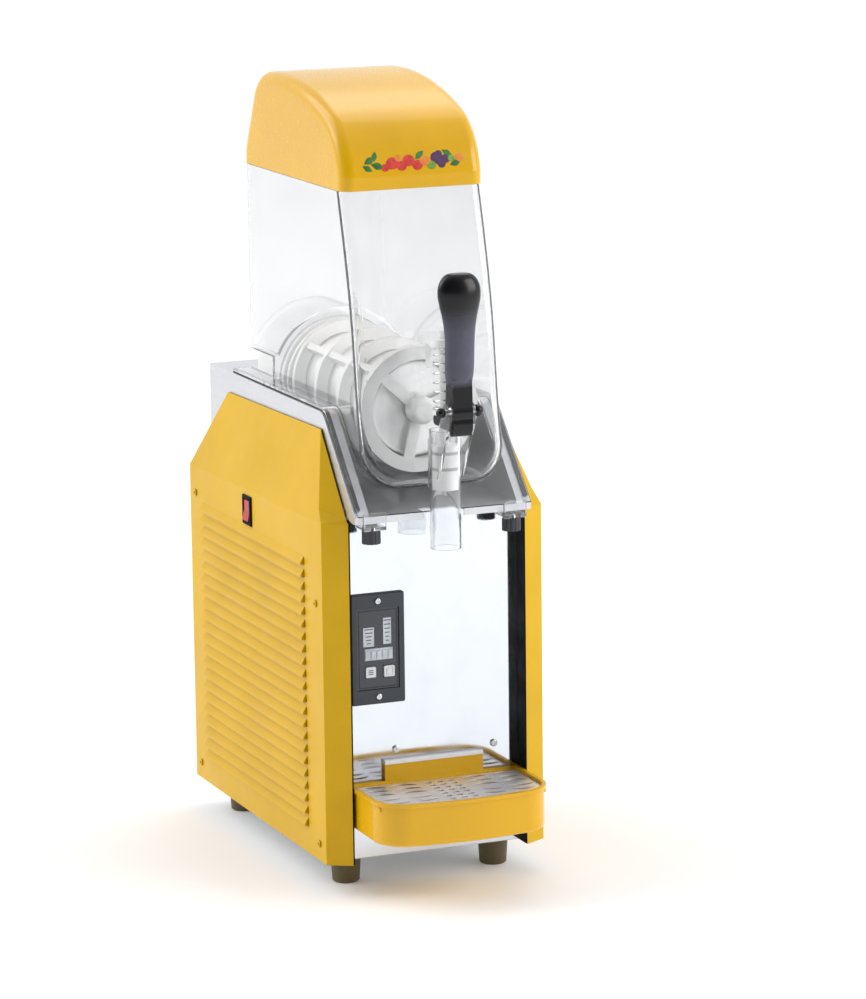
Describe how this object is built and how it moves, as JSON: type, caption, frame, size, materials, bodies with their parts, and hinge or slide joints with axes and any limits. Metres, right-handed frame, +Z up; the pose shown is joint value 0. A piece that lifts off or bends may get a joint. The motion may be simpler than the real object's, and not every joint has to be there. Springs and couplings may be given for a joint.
{
  "type": "slush machine",
  "caption": "Upright countertop slush machine with a clear bowl over a freezing cylinder, a lever tap, louvred cabinet, control panel and removable drip tray.",
  "frame": {"origin": "on the floor, under the middle of the whole outline", "axes": "+Z up; the tap and drip tray face -Y; +X is to the right as seen from the front"},
  "size_m": [0.248, 0.496, 0.8123],
  "materials": {
    "yellow_sheet": "semi-gloss powder coat",
    "yellow_plastic": "gloss moulded",
    "clear_plastic": "clear polycarbonate",
    "stainless": "brushed",
    "polished_stainless": "mirror polish",
    "steel_fastener": "plated",
    "black_plastic": "satin moulded",
    "black_rubber": "matt",
    "white_plastic": "moulded",
    "olive_rubber": "matt",
    "dark_panel": "fine texture",
    "display_glass": "smoked lens",
    "switch_red": "translucent",
    "grey_rubber": "silicone",
    "circuit_board": "coated",
    "black_paint": "satin enamel",
    "aluminium_cast": "cast",
    "copper_pipe": "drawn copper",
    "galvanised": "galvanised"
  },
  "bodies": {
    "cabinet": {"base_pan": "galvanised", "feet": "olive_rubber", "foot_screws": "steel_fastener", "left_side_panel": "yellow_sheet", "right_side_panel": "yellow_sheet", "front_trims": "black_plastic", "front_panel": "polished_stainless", "front_screws": "steel_fastener", "side_screws": "steel_fastener", "rear_panel": "stainless", "cable_gland": "black_plastic", "deck": "stainless", "deck_gasket": "black_rubber", "bulkhead": "stainless", "motor_cover": "white_plastic", "control_bezel": "dark_panel", "bezel_screws": "steel_fastener", "control_overlay": "dark_panel", "display_windows": "display_glass", "indicator_row": "display_glass", "control_board": "circuit_board", "switch_housing": "black_plastic", "evaporator_drum": "stainless", "drum_flange": "white_plastic", "shaft_seal": "grey_rubber", "bowl_seal": "grey_rubber", "gearbox": "aluminium_cast", "gear_motor": "black_paint", "motor_bracket": "galvanised", "compressor": "black_paint", "compressor_mounts": "black_rubber", "condenser": "aluminium_cast", "fan_shroud": "galvanised", "fan_motor": "black_paint", "suction_line": "copper_pipe", "discharge_line": "copper_pipe", "liquid_line": "copper_pipe", "electrical_box": "black_plastic", "filter_dryer": "copper_pipe"},
    "bowl": {"bowl": "clear_plastic", "spring_stop": "white_plastic", "tap_pin": "steel_fastener", "pin_knobs": "black_plastic", "tap_spring": "steel_fastener"},
    "lid": {"lid": "yellow_plastic"},
    "auger": {"auger": "white_plastic", "auger_nose": "white_plastic", "drive_shaft": "steel_fastener"},
    "fan": {"fan_blade": "black_plastic"},
    "handle": {"tap_handle": "black_plastic"},
    "piston": {"tap_piston": "white_plastic", "piston_rings": "grey_rubber"},
    "rocker": {"rocker": "switch_red"},
    "mode_key": {"button_mode": "white_plastic"},
    "power_key": {"button_power": "white_plastic"},
    "tray": {"drip_tray": "yellow_plastic", "tray_edging": "white_plastic"},
    "grille": {"drip_grille": "polished_stainless"},
    "left_lock": {"left_lock_knob": "black_plastic"},
    "right_lock": {"right_lock_knob": "black_plastic"}
  },
  "joints": [
    {"name": "bowl_slide", "type": "slide", "parent": "cabinet", "child": "bowl", "axis": [0, -1, 0], "range_m": [0, 0.34]},
    {"name": "lid_lift", "type": "slide", "parent": "bowl", "child": "lid", "axis": [0, 0, 1], "range_m": [0, 0.15]},
    {"name": "auger_spin", "type": "hinge", "parent": "cabinet", "child": "auger", "pos_m": [0, 0, 0.487], "axis": [0, 1, 0], "continuous": true},
    {"name": "fan_spin", "type": "hinge", "parent": "cabinet", "child": "fan", "pos_m": [0, 0.19, 0.17], "axis": [0, 1, 0], "continuous": true},
    {"name": "handle_pull", "type": "hinge", "parent": "bowl", "child": "handle", "pos_m": [0, -0.222, 0.501], "axis": [1, 0, 0], "range_deg": [0, 26], "stiffness_Nm_per_rad": 1.5, "springref_deg": -8.59},
    {"name": "piston_lift", "type": "slide", "parent": "bowl", "child": "piston", "axis": [0, 0, 1], "range_m": [0, 0.01808], "deforming": ["tap_spring"]},
    {"name": "rocker_tip", "type": "hinge", "parent": "cabinet", "child": "rocker", "pos_m": [-0.117, 0.066, 0.36], "axis": [0, -1, 0], "range_deg": [0, 11]},
    {"name": "mode_key_press", "type": "slide", "parent": "cabinet", "child": "mode_key", "axis": [0, 1, 0], "range_m": [0, 0.0012], "stiffness_N_per_m": 300},
    {"name": "power_key_press", "type": "slide", "parent": "cabinet", "child": "power_key", "axis": [0, 1, 0], "range_m": [0, 0.0012], "stiffness_N_per_m": 300},
    {"name": "tray_slide", "type": "slide", "parent": "cabinet", "child": "tray", "axis": [0, -1, 0], "range_m": [0, 0.12]},
    {"name": "grille_lift", "type": "slide", "parent": "tray", "child": "grille", "axis": [0, 0, 1], "range_m": [0, 0.08]},
    {"name": "left_lock_turn", "type": "hinge", "parent": "bowl", "child": "left_lock", "pos_m": [-0.076, -0.173, 0.375], "axis": [0, 0, 1], "range_deg": [0, 180]},
    {"name": "right_lock_turn", "type": "hinge", "parent": "bowl", "child": "right_lock", "pos_m": [0.076, -0.173, 0.375], "axis": [0, 0, 1], "range_deg": [-180, 0]}
  ],
  "couplings": [
    {"joint": "piston_lift", "follows": "handle_pull", "m_per_rad": 0.0398}
  ]
}
